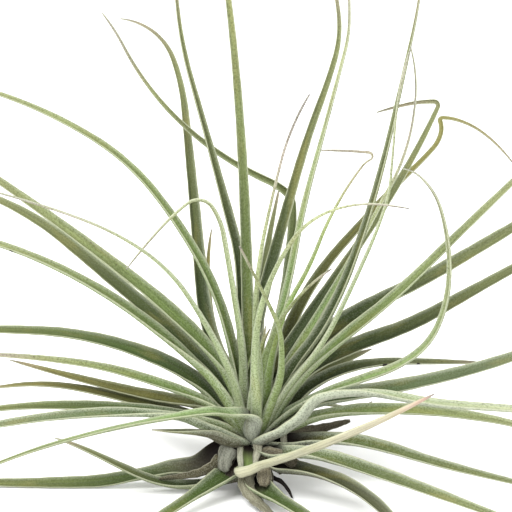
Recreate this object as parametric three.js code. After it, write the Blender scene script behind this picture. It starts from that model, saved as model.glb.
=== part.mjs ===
// An air plant: a rosette of long channelled leaves on a short stem, with a dry root at its foot.
// Millimetres, +Z up, +X to the right and +Y away from the front. The origin is the foot's centre.
import * as THREE from 'three';

// Driving dimensions
const STEM = {
  footRadius: 5, // the flat spot that the plant stands on
  footRise: 4, // from the flat spot to the barrel's full width
  radius: 9,
  crownHeight: 19, // centre of the dome that the upper leaves leave from
  ringSides: 28,
  domeSteps: 6,
};
const GAP = 0.4; // between a leaf's root and the stem
const LEAF = {
  rootWidth: 2.8,
  flareLength: 18, // a leaf reaches its full width this far from its root
  tipWidth: 0.9,
  rootThickness: 1,
  tipThickness: 0.8,
  rootChannel: 0.12, // depth of the channel over its width
  channel: 0.36,
  taper: 0.9,
};
const FLOOR_SOFTNESS = 0.5; // how gently a leaf that reaches the surface turns to lie along it
const STEPS = 240; // along a midrib, for working out its line
const STATIONS = { even: 8, turn: THREE.MathUtils.degToRad(15) };
const ROOT = { radius: 0.7, sides: 7, steps: 18 };

const TONES = {
  green: { color: '#7f9a52', roughness: 0.6 },
  dark: { color: '#4f5c30', roughness: 0.65 },
  olive: { color: '#8b8c4a', roughness: 0.65 },
  silver: { color: '#a9b8a4', roughness: 0.8 },
  dry: { color: '#d9cfa8', roughness: 0.85 },
  stem: { color: '#3c2f26', roughness: 0.9 },
  root: { color: '#2b221d', roughness: 0.9 },
};

// A leaf's root is [azimuth, elevation] on the stem's dome, or with a height on its barrel, and there
// the leaf stands off the stem. Then it passes through the headings of its path. A heading is [share
// of the length, face angle, depth angle, roll], in degrees: the face angle is what the front view
// shows, from +X towards +Z, and the depth angle leads out of that view, to the back. A heading with
// no depth angle has the leaf's own. base is the width at the root of a leaf with a broad sheath.
const LEAVES = {
  // Short young leaves at the middle
  leaf_inner_1: { tone: 'silver', length: 34, width: 2.6, root: [270, 80], depth: -5,
    path: [[0.3, 92], [0.6, 76], [1, 62]] },
  leaf_inner_2: { tone: 'green', length: 30, width: 2.6, root: [150, 80], depth: 0,
    path: [[0.3, 92], [0.6, 74], [1, 68]] },
  leaf_inner_3: { tone: 'green', length: 30, width: 2.4, root: [62, 80], depth: 18,
    path: [[0.5, 84], [1, 80]] },
  // Upright and arching leaves of the crown, from the middle out
  leaf_crown_1: { tone: 'silver', length: 164, width: 4.6, root: [25, 70], depth: 5,
    path: [[0.06, 86], [0.2, 75], [0.36, 80], [0.55, 75], [0.8, 76], [0.87, 90], [1, 100]] },
  leaf_crown_2: { tone: 'green', length: 204, width: 4.2, root: [95, 70], depth: 5,
    path: [[0.08, 94], [0.25, 91], [0.6, 95], [1, 102]] },
  leaf_crown_3: { tone: 'green', length: 199, width: 5, root: [155, 70], depth: 0,
    path: [[0.06, 98], [0.17, 105], [0.3, 118], [0.44, 127], [0.58, 147], [0.76, 161], [1, 170]] },
  leaf_crown_4: { tone: 'silver', length: 122, width: 3.6, root: [215, 70], depth: -8,
    path: [[0.08, 88], [0.3, 98], [0.58, 99], [0.67, 122], [0.75, 217], [0.85, 227], [1, 232]] },
  leaf_crown_5: { tone: 'silver', length: 74, width: 3.4, root: [275, 70], depth: -20,
    path: [[0.2, 81], [0.45, 74], [0.7, 58], [1, 41]] },
  leaf_crown_6: { tone: 'green', length: 128, width: 3.4, root: [330, 70], depth: -12,
    path: [[0.08, 88], [0.25, 76], [0.42, 63], [0.56, 72], [0.7, 64], [0.82, 56], [0.85, 30], [0.862, 110],
      [0.875, 172], [1, 177]] },
  leaf_crown_7: { tone: 'green', length: 180, width: 4.8, root: [54, 60], depth: 36,
    path: [[0.06, 86], [0.14, 69], [0.24, 79], [0.4, 86, 32], [0.438, 96, 20], [0.468, 140, 6],
      [0.51, 156, 4], [0.6, 148, 4], [0.7, 139, 4], [0.8, 129, 4], [0.92, 117, 4], [1, 128, 4]] },
  leaf_crown_8: { tone: 'dark', length: 178, width: 5.4, root: [97, 60], depth: 28,
    path: [[0.1, 86], [0.24, 73], [0.5, 72], [0.66, 67], [0.76, 72], [0.86, 96], [1, 112]] },
  leaf_crown_9: { tone: 'dark', length: 175, width: 5, root: [135, 60], depth: 22,
    path: [[0.06, 86], [0.28, 94], [0.36, 106], [0.7, 107], [0.86, 96], [1, 96]] },
  leaf_crown_10: { tone: 'silver', length: 161, width: 3.4, root: [220, 60], depth: -25,
    path: [[0.06, 96], [0.15, 108], [0.4, 117], [0.55, 136], [0.7, 150], [0.85, 155], [1, 160]] },
  leaf_crown_11: { tone: 'silver', length: 140, width: 4.6, root: [270, 60], depth: -21,
    path: [[0.08, 84], [0.22, 93], [0.4, 88], [0.6, 80], [0.8, 78], [1, 63]] },
  leaf_crown_12: { tone: 'silver', length: 93, width: 3.6, root: [306, 60], depth: -30,
    path: [[0.1, 66], [0.3, 88], [0.45, 93], [0.6, 110], [1, 112]] },
  leaf_crown_13: { tone: 'silver', length: 132, width: 3.4, root: [278, 50], depth: -22,
    path: [[0.1, 95], [0.3, 87], [0.5, 72], [0.66, 61], [0.8, 27], [0.94, -1], [1, -4]] },
  leaf_crown_14: { tone: 'dark', length: 168, width: 6, root: [112, 50], depth: 30,
    path: [[0.07, 134], [0.16, 112], [0.3, 96], [0.7, 97], [0.82, 112], [0.92, 153], [1, 180]] },
  leaf_crown_15: { tone: 'olive', length: 82, width: 4.2, root: [125, 40], depth: 50,
    path: [[0.2, 119], [0.4, 107], [0.7, 94], [1, 78]] },
  // Leaves that lean out to the left, from high to low
  leaf_left_1: { tone: 'green', length: 161, width: 5.6, root: [178, 60], depth: -7,
    path: [[0.05, 98], [0.12, 121], [0.24, 132], [0.4, 138], [0.7, 141], [1, 143]] },
  leaf_left_2: { tone: 'dark', length: 147, width: 5.4, root: [152, 50], depth: 18,
    path: [[0.05, 118], [0.14, 136], [0.3, 143], [0.6, 144], [0.8, 160], [1, 166]] },
  leaf_left_3: { tone: 'green', length: 154, width: 5.6, root: [192, 50], depth: 8,
    path: [[0.05, 115], [0.14, 137], [0.3, 143], [0.5, 153], [0.68, 163], [1, 172]] },
  leaf_left_4: { tone: 'green', length: 100, width: 5.8, root: [178, 38], depth: -1,
    path: [[0.08, 145], [0.2, 158], [0.4, 162], [0.6, 171], [0.85, 176], [1, 177]] },
  leaf_left_5: { tone: 'dark', length: 158, width: 7, root: [155, 30], depth: 25,
    path: [[0.05, 130], [0.12, 149], [0.22, 164], [0.36, 174], [0.54, 186], [0.75, 190], [1, 196]] },
  leaf_left_6: { tone: 'silver', length: 125, width: 5.6, root: [213, 27], base: 4.4, depth: -8,
    path: [[0.08, 160], [0.13, 167], [0.24, 173], [0.4, 180], [0.6, 186], [0.8, 191], [1, 198]] },
  leaf_left_7: { tone: 'olive', length: 108, width: 5.4, root: [145, 18], depth: 35,
    path: [[0.06, 158], [0.13, 180], [0.22, 186], [0.5, 181], [1, 179]] },
  leaf_left_8: { tone: 'green', length: 122, width: 5, root: [172, 17], depth: 18,
    path: [[0.05, 166], [0.12, 180], [0.4, 183], [0.6, 189], [0.75, 194], [1, 200]] },
  leaf_left_9: { tone: 'olive', length: 134, width: 4.6, root: [160, 3], depth: 38,
    path: [[0.05, 160], [0.1, 181], [0.5, 185], [0.62, 191], [0.8, 202], [1, 206]] },
  leaf_left_10: { tone: 'dark', length: 36, width: 3.8, root: [232, 14], depth: -28,
    path: [[0.2, 154], [0.6, 166], [1, 162]] },
  // Low leaves that come down to the surface
  leaf_low_1: { tone: 'green', length: 104, width: 6, root: [190, -5, 13], base: 6, depth: 0,
    path: [[0.11, 204], [0.2, 193], [0.42, 191], [0.56, 185], [0.72, 175], [1, 174]] },
  leaf_low_2: { tone: 'olive', length: 68, width: 5.6, root: [200, -8, 3.4], base: 5, depth: -13,
    path: [[0.1, 186], [0.25, 171], [0.34, 163], [0.42, 155], [0.52, 148], [0.7, 146], [0.85, 149],
      [1, 155]] },
  leaf_low_3: { tone: 'green', length: 74, width: 7, root: [230, -10, 10], base: 6, depth: -45,
    path: [[0.15, 197], [0.3, 194], [1, 200]] },
  leaf_low_4: { tone: 'silver', length: 81, width: 7.4, root: [268, -10, 9], base: 6, depth: -60,
    path: [[0.05, -60], [0.11, -3], [0.26, 9], [0.6, 4], [1, -15]] },
  leaf_low_5: { tone: 'olive', length: 76, width: 6.6, root: [305, -8, 12], base: 6.6, depth: -38,
    path: [[0.1, 15], [0.25, 6], [0.38, -4], [0.5, -17], [0.64, -30], [0.75, -45], [1, -42]] },
  leaf_low_6: { tone: 'green', length: 114, width: 6, root: [295, 0, 17], base: 4.2, depth: -23,
    path: [[0.08, 18], [0.2, -3], [0.3, -10], [0.5, -12], [1, -13]] },
  leaf_low_7: { tone: 'green', length: 111, width: 6, root: [326, 10, 18], base: 5, depth: -8,
    path: [[0.06, 17], [0.15, 3], [0.22, -1], [0.3, -10], [0.42, -16], [0.6, -12], [1, -10]] },
  // A folded green leaf, and a dried one that is folded at the front
  leaf_folded_1: { tone: 'green', length: 128, width: 5, root: [272, 38], base: 5, depth: -15,
    path: [[0.05, 86, -40], [0.1, 158, -20, -50], [0.14, 172, -15, -70], [0.27, 184, -15, -70],
      [0.4, 186, -15, -60], [0.6, 191, -15, -60], [0.8, 198, -15, -60], [1, 205, -12, -60]] },
  leaf_folded_2: { tone: 'dry', length: 84, width: 4.4, root: [262, -10, 17], base: 4.6, depth: -12,
    path: [[0.06, 258, -60], [0.105, 374, -32, 10], [0.15, 388, -24, 20], [1, 396, -14, 20]] },
  // Leaves that lean out to the right, from low to high
  leaf_right_1: { tone: 'silver', length: 133, width: 7, root: [302, 30], base: 5, depth: -11,
    path: [[0.06, 40], [0.13, 42], [0.22, 16], [0.37, -7], [0.44, -7], [0.56, 0], [0.7, 0], [1, -12]] },
  leaf_right_2: { tone: 'green', length: 112, width: 5.6, root: [340, 20], depth: 2,
    path: [[0.08, 25], [0.16, 11], [0.3, 1], [0.5, -6], [0.7, -12], [1, -26]] },
  leaf_right_3: { tone: 'silver', length: 138, width: 5.8, root: [8, 28], depth: 15,
    path: [[0.06, 27], [0.13, 9], [0.25, 3], [0.36, 6], [0.53, 10], [0.65, 14], [1, 18]] },
  leaf_right_4: { tone: 'silver', length: 133, width: 4.2, root: [340, 40], depth: 0,
    path: [[0.05, 36], [0.2, 20], [0.32, 20], [0.42, 38], [0.52, 68], [0.65, 88], [0.85, 108], [0.95, 138],
      [1, 172]] },
  leaf_right_5: { tone: 'dark', length: 106, width: 5, root: [30, 18], depth: 35,
    path: [[0.06, 54], [0.17, 26], [0.3, 8], [0.43, -6], [0.6, -15], [1, -16]] },
  leaf_right_6: { tone: 'dark', length: 60, width: 4.4, root: [55, 20], depth: 45,
    path: [[0.12, 36], [0.3, 24], [0.6, 8], [1, 3]] },
  leaf_right_7: { tone: 'dark', length: 168, width: 6.6, root: [42, 30], depth: 28,
    path: [[0.04, 57], [0.1, 41], [0.2, 15], [0.33, 9], [0.48, 21], [0.65, 20], [1, 27]] },
  leaf_right_8: { tone: 'dark', length: 164, width: 6, root: [25, 40], depth: 20,
    path: [[0.05, 70], [0.13, 53], [0.28, 26], [0.4, 19], [0.52, 25], [0.7, 26], [1, 22]] },
  leaf_right_9: { tone: 'green', length: 153, width: 5.6, root: [0, 50], depth: 2,
    path: [[0.05, 58], [0.14, 47], [0.3, 39], [0.5, 46], [1, 45]] },
  leaf_right_10: { tone: 'dark', length: 160, width: 5.6, root: [72, 50], depth: 28,
    path: [[0.07, 60], [0.18, 52], [0.32, 50], [0.5, 52], [0.7, 57], [0.84, 62], [0.86, 182, 10],
      [0.93, 196, 10], [1, 200, 10]] },
  leaf_right_11: { tone: 'olive', length: 193, width: 5, root: [58, 40], depth: 42,
    path: [[0.056, 80], [0.16, 62], [0.4, 38], [0.546, 38], [0.64, 32], [0.72, 38], [0.76, 70], [0.79, 110],
      [0.8, 0, 0], [0.83, -16, 0], [0.89, -36, 0], [0.94, -46, 0], [1, -54, 0]] },
  leaf_right_12: { tone: 'dark', length: 172, width: 6, root: [20, 60], depth: 12,
    path: [[0.05, 60], [0.15, 51], [0.25, 62], [0.35, 69], [0.5, 74], [0.65, 77], [0.85, 78], [1, 86]] },
  leaf_right_13: { tone: 'silver', length: 148, width: 6, root: [343, 60], depth: -6,
    path: [[0.05, 57], [0.16, 53], [0.3, 66], [0.5, 69], [0.6, 74], [0.68, 87], [0.82, 87], [1, 73]] },
  leaf_right_14: { tone: 'olive', length: 145, width: 4.8, root: [38, 50], depth: 18,
    path: [[0.07, 68], [0.2, 56], [0.5, 60], [0.64, 60], [0.76, 74], [0.88, 87], [1, 106]] },
  // Leaves that arch away to the back and come down to the surface there
  leaf_back_1: { tone: 'dark', length: 88, width: 5, root: [122, 18], depth: 58,
    path: [[0.12, 175, 62], [0.4, 220, 54], [0.75, 228, 52], [1, 197, 61]] },
  leaf_back_2: { tone: 'green', length: 98, width: 5, root: [98, 22], depth: 70,
    path: [[0.15, 180, 80], [0.4, 244, 67], [0.75, 250, 60], [1, 219, 77]] },
  leaf_back_3: { tone: 'green', length: 94, width: 5, root: [76, 22], depth: 70,
    path: [[0.15, 0, 80], [0.4, -62, 66], [0.75, -68, 60], [1, -34, 76]] },
  leaf_back_4: { tone: 'dark', length: 86, width: 4.8, root: [62, 6], depth: 57,
    path: [[0.15, 0], [0.4, -36, 54], [0.75, -42, 52], [1, -10, 60]] },
  leaf_back_5: { tone: 'olive', length: 120, width: 4.8, root: [88, 40], depth: 60,
    path: [[0.2, 86, 50], [0.5, 80, 60], [1, 60, 80]] },
};

// The dry root leaves the stem low at the front and lies on the surface
const ROOT_LINE = [[7.3, -6.6, 5], [9.2, -8.2, 5], [11, -9.6, 3.8], [12.6, -11.4, 2], [13.4, -13.8, 0.9]];

const { degToRad, radToDeg, lerp, smoothstep } = THREE.MathUtils;

/** The unit vector of a face angle and a depth angle, in degrees. */
function direction(face, depth) {
  const [f, d] = [degToRad(face), degToRad(depth)];
  return new THREE.Vector3(Math.cos(d) * Math.cos(f), Math.sin(d), Math.cos(d) * Math.sin(f));
}

/** Where a leaf's root lies, and which way it points there: straight off the stem. */
function rootOf(leaf) {
  const [azimuth, elevation, height] = leaf.root;
  const [a, e] = [degToRad(azimuth), degToRad(elevation)];
  const outward = new THREE.Vector3(Math.cos(e) * Math.cos(a), Math.cos(e) * Math.sin(a), Math.sin(e));
  const reach = STEM.radius + GAP;
  const point = outward.clone().multiplyScalar(reach);
  if (height === undefined) point.z += STEM.crownHeight;
  else point.setZ(0).setLength(reach).setZ(height);
  return { outward, point };
}

/** The leaf's headings from its root to its tip, each in full. */
function headings(leaf) {
  const path = leaf.path.map(([share, face, depth = leaf.depth, roll = 0]) => [share, face, depth, roll]);
  const { outward } = rootOf(leaf);
  const face = radToDeg(Math.atan2(outward.z, outward.x));
  const turns = Math.round((path[0][1] - face) / 360);
  return [[0, face + 360 * turns, radToDeg(Math.asin(outward.y)), 0], ...path];
}

/** The face angle, depth angle and roll at a share of a leaf's length, straight between headings. */
function headingAt(path, share) {
  const next = Math.max(1, path.findIndex(([at]) => at >= share));
  const [from, to] = [path[next - 1], path[next]];
  const t = (share - from[0]) / (to[0] - from[0]);
  return [1, 2, 3].map((i) => lerp(from[i], to[i], t));
}

/** The room that a leaf's section takes below its midrib when it lies flat. */
function clearance(section) {
  return section.depth / 2 + section.thickness;
}

/** The section at a share of the leaf's length: its width, its channel's depth and its thickness. */
function sectionAt(leaf, share) {
  const flare = smoothstep(share * leaf.length, 0, LEAF.flareLength);
  const taper = LEAF.tipWidth + (leaf.width - LEAF.tipWidth) * (1 - share) ** LEAF.taper;
  const width = lerp(leaf.base ?? Math.min(LEAF.rootWidth, leaf.width), taper, flare);
  return {
    width,
    depth: width * lerp(LEAF.rootChannel, LEAF.channel, flare),
    thickness: lerp(LEAF.rootThickness, LEAF.tipThickness, share),
  };
}

/** The height that a point of the midrib gets, so that the leaf lies along the surface, not in it. */
function liftedHeight(height, room) {
  const above = height - room;
  return room + (above + Math.hypot(above, 2 * FLOOR_SOFTNESS)) / 2;
}

/** The midrib as even points: it starts just off the stem and follows the leaf's headings. */
function midrib(leaf, path) {
  const { point } = rootOf(leaf);
  const points = [];
  for (let i = 0; i <= STEPS; i++) {
    const lifted = point.clone();
    lifted.z = liftedHeight(point.z, clearance(sectionAt(leaf, i / STEPS)));
    points.push(lifted);
    const [face, depth] = headingAt(path, Math.min(1, (i + 0.5) / STEPS));
    point.addScaledVector(direction(face, depth), leaf.length / STEPS);
  }
  return points;
}

/** A frame at each point of the midrib: along it, across the blade and out of its upper face. */
function framesAlong(leaf) {
  const path = headings(leaf);
  const points = midrib(leaf, path);
  const across = new THREE.Vector3(-points[0].y, points[0].x, 0);
  return points.map((point, i) => {
    const before = points[Math.max(0, i - 1)];
    const along = points[Math.min(STEPS, i + 1)].clone().sub(before).normalize();
    across.addScaledVector(along, -along.dot(across)).normalize();
    const rolled = across.clone().applyAxisAngle(along, degToRad(headingAt(path, i / STEPS)[2]));
    return { point, along, across: rolled, up: along.clone().cross(rolled), share: i / STEPS };
  });
}

/** The frames that the mesh keeps: more of them where the leaf turns. */
function stations(frames) {
  const effort = [0];
  for (let i = 1; i < frames.length; i++) {
    const turn = frames[i].along.angleTo(frames[i - 1].along);
    effort.push(effort[i - 1] + STATIONS.even / STEPS + turn / STATIONS.turn);
  }
  const count = Math.ceil(effort[STEPS]);
  const kept = [];
  for (let k = 0; k <= count; k++) {
    const wanted = (k / count) * effort[STEPS];
    kept.push(frames[Math.min(STEPS, effort.findIndex((e) => e >= wanted - 1e-9))]);
  }
  return kept;
}

/** The six corners of a channelled section: edge, rib, edge above and edge, rib, edge below. */
function ringAt(frame, leaf) {
  const { width, depth, thickness } = sectionAt(leaf, frame.share);
  const corners = [
    [-width / 2, depth / 2],
    [0, -depth / 2],
    [width / 2, depth / 2],
    [width / 2, depth / 2 - thickness],
    [0, -depth / 2 - thickness],
    [-width / 2, depth / 2 - thickness],
  ];
  const { point, across, up } = frame;
  return corners.map(([x, y]) => point.clone().addScaledVector(across, x).addScaledVector(up, y));
}

/** A blade swept through its stations, with both faces split into triangles alike. */
function leafGeometry(leaf) {
  const rings = stations(framesAlong(leaf)).map((frame) => ringAt(frame, leaf));
  const indices = [];
  const corner = (ring, k) => ring * 6 + (k % 6);
  for (let ring = 0; ring < rings.length - 1; ring++) {
    for (let k = 0; k < 6; k++) {
      const [a, b] = [corner(ring, k), corner(ring, k + 1)];
      const [c, d] = [corner(ring + 1, k + 1), corner(ring + 1, k)];
      indices.push(...(k < 3 ? [a, c, b, a, d, c] : [a, d, b, b, d, c]));
    }
  }
  const last = rings.length - 1;
  for (const half of [[0, 1, 4, 5], [1, 2, 3, 4]]) {
    const [p, q, r, s] = half.map((k) => corner(0, k));
    indices.push(p, q, r, p, r, s);
    const [t, u, v, w] = half.map((k) => corner(last, k));
    indices.push(t, v, u, t, w, v);
  }
  const geometry = new THREE.BufferGeometry();
  const positions = rings.flat().flatMap((v) => v.toArray());
  geometry.setAttribute('position', new THREE.Float32BufferAttribute(positions, 3));
  geometry.setIndex(indices);
  return geometry;
}

/** The stem: a flat foot, a short barrel and a domed top, turned round Z. */
function stemGeometry() {
  const outline = [[0, 0], [STEM.footRadius, 0], [STEM.radius, STEM.footRise]];
  for (let i = 0; i < STEM.domeSteps; i++) {
    const angle = (i / STEM.domeSteps) * (Math.PI / 2);
    outline.push([Math.cos(angle) * STEM.radius, STEM.crownHeight + Math.sin(angle) * STEM.radius]);
  }
  outline.push([0, STEM.crownHeight + STEM.radius]);
  const profile = outline.map((corner) => new THREE.Vector2(...corner));
  return new THREE.LatheGeometry(profile, STEM.ringSides).rotateX(Math.PI / 2);
}

/** The dry root: a thin tube along its line. */
function rootGeometry() {
  const line = new THREE.CatmullRomCurve3(ROOT_LINE.map((p) => new THREE.Vector3(...p)));
  const section = new THREE.Shape();
  for (let i = 0; i < ROOT.sides; i++) {
    const angle = (i / ROOT.sides) * 2 * Math.PI;
    const corner = [Math.cos(angle) * ROOT.radius, Math.sin(angle) * ROOT.radius];
    if (i === 0) section.moveTo(...corner);
    else section.lineTo(...corner);
  }
  section.closePath();
  return new THREE.ExtrudeGeometry(section, { steps: ROOT.steps, extrudePath: line });
}

/** A named mesh in one of the plant's tones. */
function piece(name, geometry, tone) {
  const material = new THREE.MeshStandardMaterial({ ...TONES[tone], metalness: 0 });
  const mesh = new THREE.Mesh(geometry, material);
  mesh.name = name;
  return mesh;
}

const airPlant = new THREE.Group();
airPlant.add(piece('stem', stemGeometry(), 'stem'));
airPlant.add(piece('root', rootGeometry(), 'root'));
for (const [name, leaf] of Object.entries(LEAVES)) airPlant.add(piece(name, leafGeometry(leaf), leaf.tone));

export default airPlant;
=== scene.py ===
"""The air plant's looks: channelled leaves with clasping sheaths, old dry sheaths and a dry root.

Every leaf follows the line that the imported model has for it. Lengths are in millimetres and angles in
degrees until they go into a mesh.
"""

from dataclasses import dataclass

import bpy
import numpy as np
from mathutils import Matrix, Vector


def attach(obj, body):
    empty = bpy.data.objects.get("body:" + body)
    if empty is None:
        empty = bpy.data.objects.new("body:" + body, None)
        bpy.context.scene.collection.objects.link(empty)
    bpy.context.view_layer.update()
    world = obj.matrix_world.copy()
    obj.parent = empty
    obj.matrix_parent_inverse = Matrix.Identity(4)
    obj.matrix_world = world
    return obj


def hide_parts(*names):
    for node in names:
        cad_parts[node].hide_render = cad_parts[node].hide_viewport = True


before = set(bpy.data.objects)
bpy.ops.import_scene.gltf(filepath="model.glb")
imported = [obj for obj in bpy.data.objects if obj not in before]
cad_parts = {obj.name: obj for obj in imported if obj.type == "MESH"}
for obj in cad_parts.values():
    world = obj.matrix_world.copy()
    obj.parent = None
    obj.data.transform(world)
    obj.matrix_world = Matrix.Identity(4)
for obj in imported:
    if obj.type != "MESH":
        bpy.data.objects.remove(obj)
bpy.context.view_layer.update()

MM = 0.001


# ---------------------------------------------------------------- camera, light and floor
PHOTO_SIDE = 512  # pixels
FOOT_PIXEL = (254, 484)  # where the photograph shows the plant's foot
PIXEL_SIZE = 0.36  # millimetres that a pixel shows at the foot
VIEW_DISTANCE = 700
VIEW_ELEVATION = 17  # degrees above the horizon
SENSOR = 36
LIGHTS = {  # place and size in metres, power in watts
    "key": ((-0.8, -0.9, 1.9), 1.2, 74),
    "front": ((0.6, -1.6, 0.9), 1.0, 20),
}
LIT_POINT = (0, 0, 0.08)  # the middle of the plant
SKY_STRENGTH = 1.3
FLOOR_REACH = 4.0
FLOOR_COLOR = (0.9, 0.9, 0.9, 1)
FLOOR_ROUGHNESS = 0.9


def make_camera():
    """Puts the camera where the foot falls on its pixel and a pixel there shows PIXEL_SIZE."""
    tilt = np.radians(VIEW_ELEVATION)
    forward = np.array([0, np.cos(tilt), -np.sin(tilt)])
    upward = np.array([0, np.sin(tilt), np.cos(tilt)])
    to_right, to_top = PHOTO_SIDE / 2 - FOOT_PIXEL[0], FOOT_PIXEL[1] - PHOTO_SIDE / 2
    target = np.array([to_right * PIXEL_SIZE, 0, 0]) + upward * to_top * PIXEL_SIZE
    lens = bpy.data.cameras.new("camera")
    lens.sensor_width = SENSOR
    lens.lens = SENSOR * VIEW_DISTANCE / (PIXEL_SIZE * PHOTO_SIDE)
    camera = bpy.data.objects.new("camera", lens)
    camera.location = (target - forward * VIEW_DISTANCE) * MM
    camera.rotation_euler = (np.pi / 2 - tilt, 0, 0)
    bpy.context.scene.collection.objects.link(camera)
    bpy.context.scene.camera = camera


def make_light(name, place, size, power):
    """A square soft box, size metres wide, that faces the middle of the plant."""
    lamp = bpy.data.lights.new(name, "AREA")
    lamp.size, lamp.energy = size, power
    box = bpy.data.objects.new(name, lamp)
    box.location = place
    toward = Vector(LIT_POINT) - Vector(place)
    box.rotation_euler = toward.to_track_quat("-Z", "Y").to_euler()
    bpy.context.scene.collection.objects.link(box)


def make_floor():
    """A plain pale floor that fills the view."""
    mesh = bpy.data.meshes.new("floor")
    corners = [(x * FLOOR_REACH, y * FLOOR_REACH, 0) for x, y in ((-1, -1), (1, -1), (1, 1), (-1, 1))]
    mesh.from_pydata(corners, [], [(0, 1, 2, 3)])
    floor = bpy.data.objects.new("floor", mesh)
    bpy.context.scene.collection.objects.link(floor)
    paint = bpy.data.materials.new("floor")
    paint.use_nodes = True
    shader = paint.node_tree.nodes["Principled BSDF"]
    shader.inputs["Base Color"].default_value = FLOOR_COLOR
    shader.inputs["Roughness"].default_value = FLOOR_ROUGHNESS
    mesh.materials.append(paint)


def make_world():
    """Even white light from all round."""
    world = bpy.data.worlds.new("studio")
    world.use_nodes = True
    sky = world.node_tree.nodes["Background"]
    sky.inputs["Color"].default_value = (1, 1, 1, 1)
    sky.inputs["Strength"].default_value = SKY_STRENGTH
    bpy.context.scene.world = world
    bpy.context.scene.view_settings.view_transform = "Standard"


make_camera()
for name, (place, size, power) in LIGHTS.items():
    make_light(name, place, size, power)
make_floor()
make_world()


# ---------------------------------------------------------------- the leaves' lines
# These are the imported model's, whose leaves the dressed ones follow.
STEM_RADIUS = 9
CROWN_HEIGHT = 19  # where the dome on the stem has its centre
ROOT_GAP = 0.4  # between the stem and a leaf's root
STEPS = 240  # along a midrib
FLOOR_SOFTNESS = 0.5  # how gently a leaf turns to lie on the surface
FLARE = 18  # a blade has its own width this far from its root
ROOT_WIDTH = 2.8
TIP_WIDTH = 0.9
NARROWING = 0.9  # the width falls as (1 - share)^NARROWING
ROOT_HOLLOW, BLADE_HOLLOW = 0.12, 0.36  # depth of the section over its chord
ROOT_WALL, TIP_WALL = 1, 0.8


@dataclass
class Leaf:
    """One leaf in millimetres and degrees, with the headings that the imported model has.

    root is (azimuth, elevation) on the stem's dome, or with a height on its barrel. A heading is (share of
    the length, face angle from +X towards +Z, depth angle towards +Y, roll). The rest is how it is dressed.
    """

    skin: str
    length: float
    width: float
    root: tuple
    depth: float
    path: list
    base: float = 0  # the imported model's width at the root, where the sheath is broad
    tip: float = 0.95  # the share where the leaf begins to dry
    wide: float = 0  # the living blade's width, where it isn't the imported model's
    lean: float = 0.9  # how quickly the blade narrows: its width falls as (1 - share)^lean
    sheath: float = 0  # chord of the part that clasps the stem
    clasp: float = 14  # the sheath's roll, which fades out along the blade
    cup: float = 0.42  # depth of the sheath's section over its chord
    hollow: float = 0.36  # and that of the blade's
    settle: float = 16  # the blade has its own width this far past the sheath
    facing: float = 0  # how far the blade's hollow side turns to the front, in degrees
    bare: float = 9  # the leaf has its sheath's dry colour up to this far from the stem's middle
    neck: tuple = ()  # points that the sheath passes through, from inside the rosette outwards
    join: float = 0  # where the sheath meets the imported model's line, from its root
    marks: tuple = ()  # dead spots: (share, across from -1 to 1, radius in millimetres)


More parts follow.
